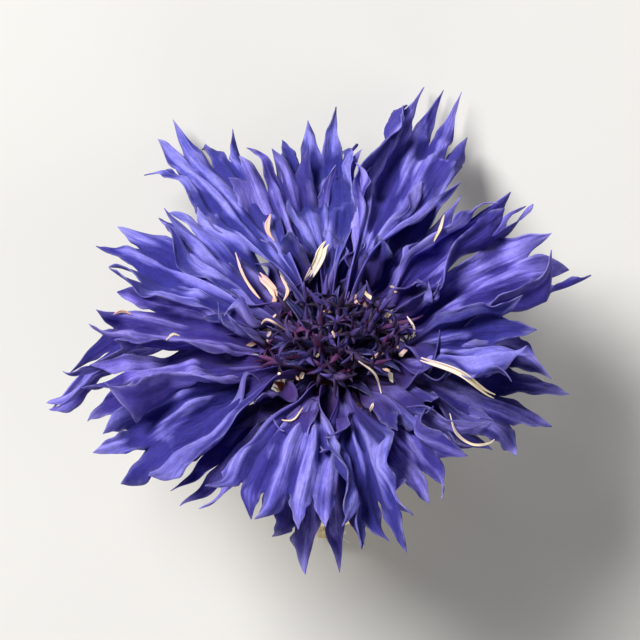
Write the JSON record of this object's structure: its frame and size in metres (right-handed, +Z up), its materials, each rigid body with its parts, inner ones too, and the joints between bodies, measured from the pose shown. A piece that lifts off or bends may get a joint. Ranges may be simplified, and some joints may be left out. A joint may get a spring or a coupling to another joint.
{
  "type": "cornflower",
  "caption": "Dried blue cornflower head with a short cut stem, lying on a surface with its open bloom tilted up.",
  "frame": {"origin": "middle of the head's footprint, on the surface it lies on", "axes": "+Z up from the surface, +Y the way the bloom leans, away from the cut stem, +X across the bloom"},
  "size_m": [0.0372, 0.0336, 0.027],
  "materials": {
    "stem": "dry ribbed straw-coloured stem with fine wool",
    "involucre": "dry cream-yellow scales with pale fringed edges",
    "inner_bracts": "dry papery scales, orange to magenta at the tips",
    "ray_florets": "dull papery violet-blue petals with fine veins",
    "disc_florets": "dull dark purple-black tubes"
  },
  "bodies": {
    "root": {"stem": "stem", "involucre": "involucre", "inner_bracts": "inner_bracts", "ray_florets": "ray_florets", "disc_florets": "disc_florets"}
  },
  "joints": []
}
